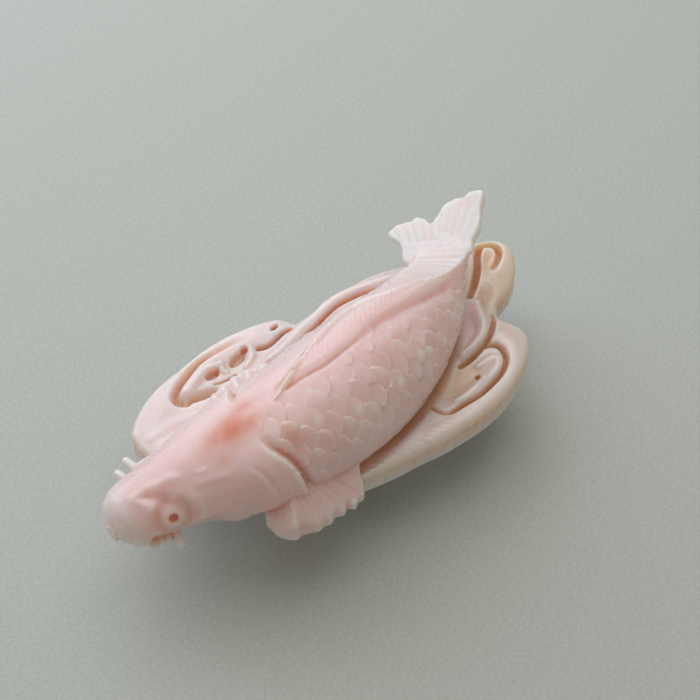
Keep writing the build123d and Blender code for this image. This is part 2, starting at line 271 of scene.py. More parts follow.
# Redder patches in the coral, and painted shade in the valley at the foot of the back fin: x, y, z, reach
# each way, strength
RED_PATCHES_AND_SHADE = [
    (-16.9, -3.0, 16.0, 1.8, 1.3, 1.8, 1.0),
    (-15.8, -3.6, 16.0, 1.4, 1.0, 1.8, 0.75),
    (-18.2, -2.6, 15.6, 1.5, 1.1, 1.8, 0.7),
    (-15.1, -2.2, 16.3, 1.4, 0.9, 1.6, 0.6),
    (11.9, 4.9, 14.9, 1.3, 0.7, 1.5, 0.14),
    (16.4, 1.2, 15.7, 1.0, 1.2, 1.5, 0.14),
    (-19.0, -4.4, 15.0, 0.8, 0.6, 1.0, 0.35),
    # Painted shade along the valley at the foot of the back fin
    (0.0, -3.0, 16.4, 4.0, 1.0, 1.5, 0.2),
    (-24.0, -2.6, 12.8, 1.0, 0.8, 0.9, 0.4),
    (-22.9, -4.6, 12.0, 0.35, 0.5, 0.6, 0.4),
    (-13.8, -6.8, 15.4, 0.8, 1.6, 1.2, 0.45),
]

# Colours in the coral, and of the shade and glints painted on it. A pair is mixed by its clouds.
WAVE_PINK = (0.76, 0.64, 0.66, 1), (0.81, 0.705, 0.73, 1)
FLESH_PINK = (0.835, 0.565, 0.59, 1), (0.87, 0.66, 0.685, 1)
TAIL_WHITE = (0.81, 0.73, 0.765, 1)
# Ochre: a yellower tone of the coral, also laid on the sunk floors of the bed as painted shade
OCHRE_TONE_AND_SHADE = (0.74, 0.56, 0.40, 1)
WORN_WHITE = (0.92, 0.83, 0.83, 1)
# Painted glints on the facets of the scales
PAINTED_GLINT_WHITE = (0.96, 0.89, 0.86, 1)
# Painted shade: the colours that hollows and deep places are darkened towards, pink on most of the coral and
# ochre on its ochre parts
PINK_PAINTED_SHADE = (0.75, 0.38, 0.22, 1)
OCHRE_PAINTED_SHADE = (0.64, 0.36, 0.17, 1)
RED_BLUSH_AND_SHADE = (0.66, 0.17, 0.07, 1)

# Lights: name, place and size in metres, power, colour. The room's light comes from all round.
LIGHTS = [
    ("window", (0.015, 0.19, 0.145), (0.30, 0.24), 0.345, (0.92, 0.975, 1.09)),
    ("ceiling", (0.06, 0.05, 0.30), (0.3, 0.3), 0.36, (1.0, 0.985, 0.97)),
]
LIT_POINT = (0, 0, 0.01)
ROOM_COLOUR = (1.0, 0.97, 0.74, 1)
ROOM_STRENGTH = 0.30
FLOOR_HALF = 0.9

# View of the photograph: compass angle from -Y and height angle in degrees, distance and the
# point looked at in millimetres, focal length and side in pixels, and sensor width
CAMERA_AZIMUTH = -46.0
CAMERA_ELEVATION = 50.0
CAMERA_DISTANCE = 150.0
CAMERA_AIM = (0.0, 0.0, 9.0)
FOCAL_PIXELS = 1667.0
PHOTO_SIDE = 700
SENSOR = 36.0


def smooth(low, high, value):
    t = np.clip((value - low) / (high - low), 0, 1)
    return t * t * (3 - 2 * t)


def bell(distance, width):
    return np.exp(-(distance / width) ** 2)


def merge(a, b, soft):
    """The union of two distance fields with a fillet of about this size."""
    h = np.clip(0.5 + 0.5 * (b - a) / soft, 0, 1)
    return b + (a - b) * h - soft * h * (1 - h)


def curve(points, per_span=8, closed=False):
    """A smooth line through points, as rows of samples."""
    p = np.array(points, float)
    ends = [p[-1:], p[:2]] if closed else [2 * p[:1] - p[1:2], 2 * p[-1:] - p[-2:-1]]
    p = np.concatenate([ends[0], p, ends[1]])
    rows = []
    t = np.linspace(0, 1, per_span, endpoint=False)[:, None]
    for a, b, c, d in zip(p[:-3], p[1:-2], p[2:-1], p[3:]):
        rows.append(0.5 * (2 * b + (c - a) * t + (2 * a - 5 * b + 4 * c - d) * t**2
                           + (3 * b - a - 3 * c + d) * t**3))
    if not closed:
        rows.append(p[-2:-1])
    return np.concatenate(rows)


def to_line(x, y, line):
    """Distance to a line of samples, the third value carried along it, and the side in sign."""
    best = np.full(x.shape, 1e9, np.float32)
    carried = np.zeros(x.shape, np.float32)
    turn = np.zeros(x.shape, np.float32)
    for a, b in zip(line[:-1], line[1:]):
        way = b[:2] - a[:2]
        dx, dy = x - a[0], y - a[1]
        t = np.clip((dx * way[0] + dy * way[1]) / max(way @ way, 1e-9), 0, 1)
        d = np.hypot(dx - t * way[0], dy - t * way[1])
        near = d < best
        best[near] = d[near]
        turn[near] = (way[0] * dy - way[1] * dx)[near]
        if len(a) > 2:
            carried[near] = (a[2] + t * (b[2] - a[2]))[near]
    return best, carried, turn


def inside_of(x, y, ring):
    """Distance to the edge of a closed ring of samples, positive within it."""
    closed = np.concatenate([ring, ring[:1]])
    distance = to_line(x, y, closed)[0]
    within = np.zeros(x.shape, bool)
    for a, b in zip(closed[:-1], closed[1:]):
        if a[1] == b[1]:
            continue
        crosses = (a[1] > y) != (b[1] > y)
        within ^= crosses & (x < a[0] + (y - a[1]) * (b[0] - a[0]) / (b[1] - a[1]))
    return np.where(within, distance, -distance)


def only(mask, work, *arrays):
    """What work gives where the mask is true, and nothing elsewhere."""
    out = np.zeros(mask.shape)
    if mask.any():
        out[mask] = work(*[a[mask] for a in arrays])
    return out


def close_to(low, high, work, x, y, z, margin=0.6):
    """A distance field worked out only near the box that holds its shape."""
    gaps = [np.maximum(np.maximum(a - v, v - b), 0) for v, a, b in zip((x, y, z), low, high)]
    out = np.sqrt(gaps[0] ** 2 + gaps[1] ** 2 + gaps[2] ** 2)
    near = out < margin
    if near.any():
        out[near] = work(x[near], y[near], z[near])
    return out


class Body:
    """The swept body: middle line, half width, half depth and roll at any station."""

    def __init__(self):
        rows = np.array(BODY_STATIONS)
        self.x = np.linspace(NOSE_X, SAMPLED_TO_X, BODY_SAMPLES)
        columns = [self.spline(rows[:, 0], rows[:, c]) for c in range(1, 6)]
        self.y, self.z, width, depth, roll = columns
        rise = np.clip((self.x - NOSE_X) / NOSE_CAP, 0.02, 1)
        cap = np.sqrt(1 - (1 - rise) ** 2)
        self.width = width * cap
        self.depth = depth * cap
        self.roll = np.radians(roll)
        self.dy = np.gradient(self.y, self.x)
        self.dz = np.gradient(self.z, self.x)
        facet = np.array(FACET)
        self.lean = np.radians(np.interp(self.x, facet[:, 0], facet[:, 1]))
        self.face = np.interp(self.x, facet[:, 0], facet[:, 2])
        pitch = 2 * np.pi * (width + depth) / 2 / SCALE_ROWS
        stretch = np.sqrt(1 + self.dy**2 + self.dz**2)
        self.scale_count = np.cumsum(stretch / pitch) * (self.x[1] - self.x[0])

    def spline(self, xs, ys):
        """A natural cubic spline through the stations, read at every sample."""
        n = len(xs)
        h = np.diff(xs)
        a = np.eye(n)
        r = np.zeros(n)
        for i in range(1, n - 1):
            a[i, i - 1:i + 2] = h[i - 1], 2 * (h[i - 1] + h[i]), h[i]
            r[i] = 6 * ((ys[i + 1] - ys[i]) / h[i] - (ys[i] - ys[i - 1]) / h[i - 1])
        m = np.linalg.solve(a, r)
        i = np.clip(np.searchsorted(xs, self.x) - 1, 0, n - 2)
        at = np.clip(self.x, xs[0], xs[-1])
        t, u = at - xs[i], xs[i + 1] - at
        cubic = (m[i] * u**3 + m[i + 1] * t**3) / (6 * h[i])
        return cubic + (ys[i] / h[i] - m[i] * h[i] / 6) * u + (ys[i + 1] / h[i] - m[i + 1] * h[i] / 6) * t

    def read(self, column, at):
        return np.interp(at, self.x, column)

    def place(self, x, y, z):
        """Station, distance outside, angle from the ridge of the back, mean radius, and the
        share of the flat face at the root of the tail."""
        at = np.clip(x, NOSE_X + 0.02, TAIL_END_X)
        for _ in range(4):
            dy, dz = self.read(self.dy, at), self.read(self.dz, at)
            off = (x - at) + (y - self.read(self.y, at)) * dy + (z - self.read(self.z, at)) * dz
            at = np.clip(at + off / (1 + dy * dy + dz * dz), NOSE_X + 0.02, TAIL_END_X)
        dy, dz = self.read(self.dy, at), self.read(self.dz, at)
        flat = np.sqrt(1 + dy * dy)
        full = np.sqrt(1 + dy * dy + dz * dz)
        ox, oy, oz = x - at, y - self.read(self.y, at), z - self.read(self.z, at)
        beyond = (ox + oy * dy + oz * dz) / full
        side = (-ox * dy + oy) / flat
        up = (-ox * dz / flat - oy * dy * dz / flat + oz * flat) / full
        roll = self.read(self.roll, at)
        a = side * np.cos(roll) + up * np.sin(roll)
        b = up * np.cos(roll) - side * np.sin(roll)
        w, h = self.read(self.width, at), self.read(self.depth, at)
        k = np.sqrt((a / w) ** 2 + (b / h) ** 2)
        g = np.sqrt((a / w**2) ** 2 + (b / h**2) ** 2)
        d = np.maximum(k * (k - 1) / np.maximum(g, 1e-6), -np.minimum(w, h))
        phi = np.degrees(np.arctan2(-a / w, b / h))
        lean = self.read(self.lean, at)
        over = side * np.sin(lean) + up * np.cos(lean) - self.read(self.face, at)
        share = smooth(-0.08, 0.08, over - d)
        d = -merge(-d, -over, 0.15)
        past = np.abs(beyond)
        d = np.where(past > 0.02, np.hypot(np.maximum(d, 0), past) + np.minimum(d, 0) * 0.2, d)
        return at, d, phi, (w + h) / 2, share


def scale_edge(body, at, phi):
    """Distance in from the free edge of a scale, place across it, and its own tilts and lift."""
    u = body.read(body.scale_count, at)
    v = phi / 360 * SCALE_ROWS
    inward = np.full(u.shape, FAR_AWAY)
    sideways = np.zeros(u.shape)
    own = np.zeros(u.shape + (3,))
    first = np.floor(u / SCALE_SPACING) - 2
    settled = np.zeros(u.shape, bool)
    for step in range(4):
        column = first + step
        offset = np.where(column % 2 == 0, 0.0, 0.5)
        row = np.round(v - offset)
        across = v - offset - row
        wobble = SCALE_SET[column.astype(int) % len(SCALE_SET), row.astype(int) % len(SCALE_SET)]
        rim = np.sqrt(SCALE_ARC**2 - across**2)
        edge = column * SCALE_SPACING + rim - u + 0.05 * wobble[..., 2]
        take = (edge > 0) & ~settled
        inward[take] = edge[take]
        sideways[take] = across[take]
        own[take] = wobble[take]
        settled |= take
    return inward, sideways, own


def scale_relief(body, at, phi):
    """Overlapping scales, raised towards the free edge of each one and tilted a little."""
    inward, sideways, own = scale_edge(body, at, phi)
    lift = 0.045 * (1 - smooth(0.0, 0.6, inward))
    tilt = 0.17 * own[..., 0] * (inward - 0.25) + 0.26 * own[..., 1] * sideways + 0.02 * own[..., 2]
    lip = smooth(0.0, 0.08, inward)
    return (lift + tilt) * lip - 0.035 * (1 - lip)


def gill_edge(phi):
    return np.interp(np.abs(phi), [row[0] for row in GILL_EDGE], [row[1] for row in GILL_EDGE])


def scaled_share(at, phi, flat):
    """Where the body carries scales: behind the gills, outside the back fin, before the tail."""
    base = np.interp(at, [p[0] for p in DORSAL_BASE], [p[1] for p in DORSAL_BASE])
    edge = np.interp(at, [p[0] for p in DORSAL_EDGE], [p[1] for p in DORSAL_EDGE])
    fin = smooth(0, -5, phi - base) * smooth(-4, 2, phi - edge) * smooth(-13.2, -12.4, at)
    share = smooth(0.3, 0.9, at - gill_edge(phi)) * smooth(11.8, 10.5, at) * (1 - fin) * (1 - flat)
    sides = smooth(-25, 0, phi) + smooth(-56, -66, phi) * smooth(-120, -100, phi)
    return share * sides * (1 - 0.75 * smooth(62, 96, phi)) * (1 - 0.5 * smooth(18, 4, np.abs(phi)))


def head_relief(at, phi, radius):
    """Gill covers, nostril, brow and lips."""
    turn = np.abs(phi)
    ahead = gill_edge(phi) - at
    strength = smooth(20, 55, turn)
    rise = GILL_STEP * strength * smooth(-0.1, 0.1, ahead) * smooth(9.0, 0.5, ahead)
    groove = -0.5 * strength * bell(ahead + 0.32, 0.3)
    lip = 0.08 * strength * bell(ahead - 0.35, 0.25)
    out = rise + groove + lip
    inner = smooth(42, 52, turn) * smooth(90, 78, turn)
    out = out + inner * (0.08 * bell(ahead - 2.2, 0.24) - 0.08 * bell(ahead - 1.85, 0.22))
    seam = np.interp(turn, (34, 60, 90), (-27.0, -26.9, -27.1))
    out = out + smooth(25, 45, turn) * (0.1 * bell(at - seam + 0.5, 0.35) - 0.07 * bell(at - seam, 0.24))
    for height, width, points in HEAD_MARKS:
        line = np.array(curve(points, 5))
        line[:, 1] = np.radians(line[:, 1])
        out = out + height * bell(to_arc(at, np.radians(phi), line, radius), width)
    return out


def to_arc(at, turn, line, radius):
    """Distance on the skin of the body to a line given as (station, angle)."""
    best = np.full(at.shape, 1e9)
    for a, b in zip(line[:-1], line[1:]):
        way_x, way_y = b[0] - a[0], (b[1] - a[1]) * radius
        px, py = at - a[0], (turn - a[1]) * radius
        t = np.clip((px * way_x + py * way_y) / np.maximum(way_x**2 + way_y**2, 1e-9), 0, 1)
        best = np.minimum(best, np.hypot(px - t * way_x, py - t * way_y))
    return best


def dorsal_relief(at, phi, radius):
    """The back fin, folded down over the right flank, with a wedge of spines before it."""
    base = np.interp(at, [p[0] for p in DORSAL_BASE], [p[1] for p in DORSAL_BASE])
    edge = np.interp(at, [p[0] for p in DORSAL_EDGE], [p[1] for p in DORSAL_EDGE])
    per_degree = radius * np.pi / 180
    below = (base - phi) * per_degree
    above = (phi - edge) * per_degree
    along = smooth(-12.9, -11.5, at) * smooth(9.6, 8.4, at)
    # The fin's face, the valley at its foot, its free edge and the line just inside that
    out = DORSAL_RISE * smooth(-0.1, 0.9, below) * smooth(-0.12, 0.2, above) * along
    out = out - 0.12 * bell(below, 0.14) * along * smooth(-1.0, -6.0, at)
    out = out - 0.13 * bell(below + 0.05, 0.42) * smooth(-4.5, 0.0, at) * smooth(8.8, 7.0, at)
    out = out + along * (0.12 * bell(above - 0.25, 0.2) - 0.16 * bell(above + 0.2, 0.16))
    out = out - 0.1 * bell(above - 0.75, 0.2) * smooth(-7.0, -5.5, at) * smooth(2.5, 0.0, at)
    crest = np.interp(at, [p[0] for p in DORSAL_CREST], [p[1] for p in DORSAL_CREST])
    crest_rise = (0.05 + 0.12 * smooth(1.0, 6.0, at)) * smooth(-4.5, -2.0, at) * smooth(10.6, 9.6, at)
    out = out + crest_rise * bell((phi - crest) * per_degree, 0.4)
    lean = at - 1.1 * below
    rays = 0.009 * np.cos(2 * np.pi * lean / 0.62) * smooth(0.4, 1.2, below) * smooth(-0.1, 0.3, above)
    out = out + rays * along * smooth(5.5, 3.0, at)
    first, second = [np.interp(-phi, [p[0] for p in row], [p[1] for p in row]) for row in DORSAL_SPINES]
    reach = smooth(-22.0, -16.0, phi) * smooth(2.5, -2.5, phi)
    wedge = smooth(-0.35, 0.35, at - first) * smooth(0.35, -0.25, at - second)
    return out + reach * (0.2 * wedge + 0.07 * bell(at - first - 0.2, 0.3))


def koi(body, x, y, z):
    """The carp without its fins and barbels."""
    at, d, phi, radius, flat = body.place(x, y, z)
    skin = np.abs(d) < 1.4
    belly = smooth(98, 128, phi) * smooth(-18.6, -16.8, at) * smooth(-2.0, -6.0, at)
    throat = smooth(76, 104, phi) * smooth(-26.0, -25.0, at) * smooth(-18.5, -21.0, at)
    d = d + 0.45 * belly
    d = d + 0.6 * throat
    d = d - only(skin & (at < -12.0), head_relief, at, phi, radius)
    scaled = scaled_share(at, phi, flat)
    d = d - scaled * only(skin & (scaled > 0), lambda a, p: scale_relief(body, a, p), at, phi)
    d = d - only(skin & (at > -13.5) & (np.abs(phi) < 75), dorsal_relief, at, phi, radius) * (1 - flat)
    notches = np.abs((at / 0.5) % 1 - 0.5) * 0.5
    stem = np.maximum(flat, smooth(0, -20, phi)) * smooth(6.4, 8.0, at) * smooth(12.2, 11.6, at)
    d = d + 0.055 * stem * bell(notches, 0.1)
    for sign in (1, -1):
        centre = skin_point(body, EYE[0], sign * EYE[1], 0.0)
        outward = (skin_point(body, EYE[0], sign * EYE[1], 1.0) - centre).normalized()
        near = (np.abs(x - centre[0]) < 2.6) & (np.abs(y - centre[1]) < 2.6) & (np.abs(z - centre[2]) < 2.6)
        if near.any():
            ox, oy, oz = x[near] - centre[0], y[near] - centre[1], z[near] - centre[2]
            rise = ox * outward[0] + oy * outward[1] + oz * outward[2]
            across = np.sqrt(np.maximum(ox**2 + oy**2 + oz**2 - rise**2, 0))
            face = d[near] + 0.1 * bell(across - 1.2, 0.36)
            ball = np.hypot(across, rise + 0.96) - EYE_RADIUS
            face = merge(face, ball, 0.3)
            drill = np.maximum(across - PUPIL_RADIUS - 0.25 * rise, -0.1 - rise)
            d[near] = -merge(-face, drill, 0.12)
    return d


def skin_point(body, at, phi, lift):
    """A point over the skin of the body, from its station and angle."""
    dy, dz = body.read(body.dy, at), body.read(body.dz, at)
    along = Vector((1, dy, dz)).normalized()
    side = Vector((0, 0, 1)).cross(along).normalized()
    up = along.cross(side)
    roll = body.read(body.roll, at)
    across = side * cos(roll) + up * sin(roll)
    back = up * cos(roll) - side * sin(roll)
    turn = radians(phi)
    w, h = body.read(body.width, at) + lift, body.read(body.depth, at) + lift
    middle = Vector((at, body.read(body.y, at), body.read(body.z, at)))
    return middle - across * (w * sin(turn)) + back * (h * cos(turn))


def rounded_slab(inside, low, high, z, low_round, high_round):
    """Between two heights, within an outline, with rounded edges."""
    middle = (low + high) / 2
    r = np.where(z > middle, high_round, low_round)
    qx = r - inside
    qz = np.where(z > middle, z - (high - r), (low + r) - z)
    return np.hypot(np.maximum(qx, 0), np.maximum(qz, 0)) + np.minimum(np.maximum(qx, qz), 0) - r


def bed_height(x, y, inside):
    """Height of the top of the bed with its ridges, before it is cut into."""
    top = np.full(x.shape, BASE_TOP_Z)
    top = top + 0.2 * smooth(0.2, 1.6, inside) * smooth(3.6, 1.8, inside)
    for height, points in RIDGES:
        d, half, _ = to_line(x, y, curve(points))
        top = top + height * smooth(2.1, 0.1, d / np.maximum(half, 0.05))
    for cx, cy, length, width, turn, depth in DIPS:
        top = top - depth * smooth(1.0, 0.1, oval(x, y, cx, cy, length, width, turn))
    hatch = np.cos(2 * np.pi * (x + 0.45 * y) / 0.7) * smooth(1.5, 0.9, inside) * smooth(0.1, 0.5, inside)
    return top + 0.04 * hatch * smooth(-9.3, -8.5, x) * smooth(1.5, 0.0, x) * smooth(-8.0, -9.0, y)


def oval(x, y, cx, cy, length, width, turn):
    """Place in an oval: nothing at its middle and one on its rim."""
    t = radians(turn)
    dx, dy = x - cx, y - cy
    return np.hypot((dx * cos(t) + dy * sin(t)) / length, (dy * cos(t) - dx * sin(t)) / width)


def bed_carving(x, y, body):
    """How deep the bed is cut below its top at each place in plan."""
    deep = np.zeros(x.shape)
    for depth, left, right, points in GROOVES:
        d, share, side = to_line(x, y, curve(points))
        width = np.where(side > 0, left, right)
        deep = np.maximum(deep, depth * share * smooth(1.0, 0.1, d / width))
    for cx, cy, length, width, turn, depth in HOLLOWS:
        deep = np.maximum(deep, depth * smooth(1.1, 0.5, oval(x, y, cx, cy, length, width, turn)))
    _, to_body, phi, _, _ = body.place(x, y, np.full(x.shape, BASE_TOP_Z))
    # A soft valley all round the foot of the carp, and a wider one along its left flank
    near = smooth(60, 90, phi) * smooth(-9.5, -8.5, x)
    soft = 0.45 * bell(np.maximum(to_body - 0.05, 0), 0.42)
    wide = 0.55 * smooth(1.25, 0.1, to_body)
    return np.maximum(deep, soft + near * (wide - soft))


def spread(heights, reach):
    """Heights of cones of slope one stood on every point, out to this reach."""
    for _ in range(int(round(reach / FINE_STEP))):
        around = np.pad(heights, 1, mode="edge")
        for i in range(3):
            for j in range(3):
                fall = FINE_STEP * np.hypot(i - 1, j - 1)
                moved = around[i:i + heights.shape[0], j:j + heights.shape[1]] - fall
                heights = np.maximum(heights, moved)
    return heights


def waves(x, y, z, plan, rough):
    """The bed of waves, read from plan maps of its outline, top and cuts."""
    inside, top, bottom, steep, upper, lower = plan(x, y)
    slab = rounded_slab(inside, BACK_Z, top, z, 0.35, 0.7)
    cut = (z - bottom) / steep
    if rough:
        over = np.minimum(cut, np.maximum(z - upper, 0.02))
        under = np.maximum(cut, -np.maximum(lower - z, 0.02))
        cut = np.where(cut > 0, over, under)
    return -merge(-slab, -cut, 0.15)


def near_pectoral(x, y, z):
    """The left fin, sloping down from the flank, with rays and a scalloped rim."""
    inside = inside_of(x, y, curve(NEAR_PECTORAL, 4, closed=True))
    angle = np.arctan2(y + 5.6, x + 15.2)
    rays = (0.035 * np.cos(angle * 46) + 0.03 * np.cos(angle * 83 + 1)) * smooth(0.1, 0.6, inside)
    top = 8.6 + 1.1 * np.clip(np.minimum(y + 11.3, 1.2 * (x + 18.0)), 0, 2.5) + rays
    slab = rounded_slab(inside, 7.3, 12.0, z, 0.4, 0.3)
    return -merge(-slab, -(z - top) * 0.67, 0.3)


def far_pectoral(x, y, z):
    """The right fin, seen end on as a row of round fingers."""
    inside = inside_of(x, y, curve(FAR_PECTORAL, 6, closed=True))
    angle = np.arctan2(y + 2.5, x + 13.6)
    fingers = np.cos(angle * 40)
    inside = inside + 0.14 * fingers * smooth(2.0, 3.5, y)
    top = 11.2 - 0.4 * (y - 0.6) + 0.13 * fingers * smooth(0.0, 0.5, inside)
    slab = rounded_slab(inside, 6.4, 11.8, z, 0.3, 0.3)
    return -merge(-slab, -(z - top) * 0.88, 0.25)


def tail_axes():
    normal = Vector(TAIL_NORMAL).normalized()
    heading = radians(TAIL_HEADING)
    level = Vector((cos(heading), sin(heading), 0))
    along = (level - normal * level.dot(normal)).normalized()
    return along, -(normal.cross(along)), normal


def tail_fin(x, y, z):
    along, across, normal = tail_axes()
    ox, oy, oz = x - TAIL_ROOT[0], y - TAIL_ROOT[1], z - TAIL_ROOT[2]
    u, v, n = [ox * a[0] + oy * a[1] + oz * a[2] for a in (along, across, normal)]
    inside = inside_of(u, v, curve(TAIL_FIN, 4, closed=True))
    angle = np.arctan2(v, u + 5.5)
    rays = np.cos(angle * 58)
    inside = inside + 0.05 * rays * smooth(0.5, 2.0, u)
    half = 0.5 + 0.035 * rays * smooth(0.0, 0.5, inside) * smooth(-0.5, 1.0, u)
    return rounded_slab(inside, -half, half, n, 0.3, 0.2)


def barbels(x, y, z):
    out = np.full(x.shape, FAR_AWAY)
    for root, tip in BARBELS:
        root, way = np.array(root), np.array(tip) - np.array(root)
        t = ((x - root[0]) * way[0] + (y - root[1]) * way[1] + (z - root[2]) * way[2]) / (way @ way)
        t = np.clip(t, 0, 1)
        r = BARBEL_RADII[0] + t * (BARBEL_RADII[1] - BARBEL_RADII[0])
        d = np.sqrt((x - root[0] - t * way[0]) ** 2 + (y - root[1] - t * way[1]) ** 2
                    + (z - root[2] - t * way[2]) ** 2)
        out = np.minimum(out, d - r)
    return out


class Plan:
    """Maps of the bed in plan at the fine step, read at grid points."""

    def __init__(self, body):
        x = np.arange(GRID_LOW[0], GRID_HIGH[0] + FINE_STEP, FINE_STEP)
        y = np.arange(GRID_LOW[1], GRID_HIGH[1] + FINE_STEP, FINE_STEP)
        gx, gy = np.meshgrid(x, y, indexing="ij")
        ring = np.concatenate([curve(lobe, 6)[:-1] for lobe in LOBES])
        inside = inside_of(gx, gy, ring)
        top = bed_height(gx, gy, inside)
        bottom = top - bed_carving(gx, gy, body)
        slopes = np.gradient(bottom, FINE_STEP)
        steep = np.sqrt(1 + slopes[0] ** 2 + slopes[1] ** 2)
        self.maps = inside, top, bottom, steep, spread(bottom, 1.0), -spread(-bottom, 1.0)

    def __call__(self, x, y):
        shape = self.maps[0].shape
        i = np.clip(np.round((x - GRID_LOW[0]) / FINE_STEP).astype(int), 0, shape[0] - 1)
        j = np.clip(np.round((y - GRID_LOW[1]) / FINE_STEP).astype(int), 0, shape[1] - 1)
        return [values[i, j] for values in self.maps]


def carving(body, plan, x, y, z, rough):
    """Distance outside the coral at every point."""
    bed = waves(x, y, z, plan, rough)
    fish = koi(body, x, y, z)
    fish = merge(fish, close_to(*TAIL_BOX, tail_fin, x, y, z), 0.7)
    fish = merge(fish, close_to(*BARBEL_BOX, barbels, x, y, z), 0.15)
    bed = merge(bed, close_to(*NEAR_PECTORAL_BOX, near_pectoral, x, y, z), 0.12)
    bed = merge(bed, close_to(*FAR_PECTORAL_BOX, far_pectoral, x, y, z), 0.15)
    out = merge(fish, bed, 0.14)
    return np.maximum(out, BACK_Z - z)


def sculpt(body, plan):
    """The field on the fine grid, worked out only near the skin."""
    span = [high - low for low, high in zip(GRID_LOW, GRID_HIGH)]
    step = FINE_STEP * REFINEMENTS[0] * REFINEMENTS[1]
    shape = [int(np.ceil(s / step)) + 1 for s in span]
    index = np.indices(shape).reshape(3, -1)
    values = evaluate(body, plan, index, step)
    field = values.reshape(shape)
    for refinement in REFINEMENTS:
        margin = step * 1.15
        near = np.abs(field) < margin
        field = field.repeat(refinement, 0).repeat(refinement, 1).repeat(refinement, 2)
        near = near.repeat(refinement, 0).repeat(refinement, 1).repeat(refinement, 2)
        half = refinement // 2
        field = np.roll(field, (-half, -half, -half), (0, 1, 2))
        near = np.roll(near, (-half, -half, -half), (0, 1, 2))
        step = step / refinement
        index = np.array(np.nonzero(near))
        field[near] = evaluate(body, plan, index, step)
    return field, step


def evaluate(body, plan, index, step, chunk=400_000):
    out = np.empty(index.shape[1], np.float32)
    for start in range(0, index.shape[1], chunk):
        part = index[:, start:start + chunk]
        x, y, z = [GRID_LOW[a] + step * part[a] for a in range(3)]
        out[start:start + chunk] = carving(body, plan, x, y, z, step > 1.5 * FINE_STEP)
    return out


def surface_net(field, step):
    """One vertex in each cell that the skin crosses, and a quad for each crossed edge."""
    inside = field < 0
    count = np.zeros([n - 1 for n in field.shape], np.uint8)
    for i in (0, 1):
        for j in (0, 1):
            for k in (0, 1):
                count += inside[i:i + count.shape[0], j:j + count.shape[1], k:k + count.shape[2]]
    active = (count > 0) & (count < 8)
    cells = np.argwhere(active)
    number = np.full(active.shape, -1, np.int32)
    number[active] = np.arange(len(cells))
    total = np.zeros((len(cells), 3))
    hits = np.zeros(len(cells))
    for axis in range(3):
        others = [a for a in range(3) if a != axis]
        for i in (0, 1):
            for j in (0, 1):
                low = np.zeros(3, int)
                low[others[0]], low[others[1]] = i, j
                high = low.copy()
                high[axis] = 1
                a = field[tuple((cells + low).T)]
                b = field[tuple((cells + high).T)]
                crossed = (a < 0) != (b < 0)
                t = a[crossed] / (a[crossed] - b[crossed])
                total[crossed] += low + t[:, None] * (high - low)
                hits[crossed] += 1
    points = (cells + total / hits[:, None]) * step + np.array(GRID_LOW)
    quads = []
    for axis in range(3):
        b, c = [(1, 2), (2, 0), (0, 1)][axis]
        low = [slice(1, n - 1) for n in field.shape]
        high = list(low)
        low[axis] = slice(0, field.shape[axis] - 1)
        high[axis] = slice(1, field.shape[axis])
        first, second = inside[tuple(low)], inside[tuple(high)]
        for mask, flip in ((first & ~second, False), (~first & second, True)):
            at = np.argwhere(mask)
            at[:, b] += 1
            at[:, c] += 1
            corners = []
            for db, dc in ((0, 0), (1, 0), (1, 1), (0, 1)):
                cell = at.copy()
                cell[:, b] -= 1 - db
                cell[:, c] -= 1 - dc
                corners.append(number[tuple(cell.T)])
            quad = np.stack(corners, 1)
            quads.append(quad[:, ::-1] if flip else quad)
    return points, np.concatenate(quads)


def to_frame():
    """Shift from the carver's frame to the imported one, in millimetres."""
    low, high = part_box("back_fitting")
    middle = (low + high) / 2 / MM
    return np.array([middle.x - FITTING_CENTRE[0], middle.y - FITTING_CENTRE[1], 0.0])


def new_mesh(name, points, quads):
    mesh = bpy.data.meshes.new(name)
    mesh.vertices.add(len(points))
    mesh.vertices.foreach_set("co", points.astype(np.float32).ravel())
    mesh.loops.add(quads.size)
    mesh.loops.foreach_set("vertex_index", quads.astype(np.int32).ravel())
    mesh.polygons.add(len(quads))
    mesh.polygons.foreach_set("loop_start", np.arange(0, quads.size, 4, dtype=np.int32))
    mesh.update(calc_edges=True)
    mesh.validate()
    return mesh


def lighten(piece, budget):
    """Fewer triangles where the surface is nearly flat."""
    triangles = sum(len(p.vertices) - 2 for p in piece.data.polygons)
    modifier = piece.modifiers.new("lighten", "DECIMATE")
    modifier.ratio = min(1.0, budget / triangles)
    graph = bpy.context.evaluated_depsgraph_get()
    lighter = bpy.data.meshes.new_from_object(piece.evaluated_get(graph))
    piece.modifiers.clear()
    old = piece.data
    piece.data = lighter
    bpy.data.meshes.remove(old)
    piece.data.polygons.foreach_set("use_smooth", np.ones(len(piece.data.polygons), bool))


def box_blur(grid, radius):
    for axis in range(3):
        for _ in range(2):
            total = np.cumsum(np.pad(grid, [(radius + 1, radius) if a == axis else (0, 0) for a in range(3)],
                                     mode="edge"), axis=axis, dtype=np.float64)
            n = grid.shape[axis]
            high = np.take(total, np.arange(2 * radius + 1, 2 * radius + 1 + n), axis)
            low = np.take(total, np.arange(n), axis)
            grid = ((high - low) / (2 * radius + 1)).astype(np.float32)
    return grid


def read_grid(grid, points, step):
    at = (points - np.array(GRID_LOW)) / step
    low = np.clip(np.floor(at).astype(int), 0, np.array(grid.shape) - 2)
    t = np.clip(at - low, 0, 1)
    out = 0
    for i in (0, 1):
        for j in (0, 1):
            for k in (0, 1):
                weight = (np.where(i, t[:, 0], 1 - t[:, 0]) * np.where(j, t[:, 1], 1 - t[:, 1])
                          * np.where(k, t[:, 2], 1 - t[:, 2]))
                out = out + weight * grid[low[:, 0] + i, low[:, 1] + j, low[:, 2] + k]
    return out


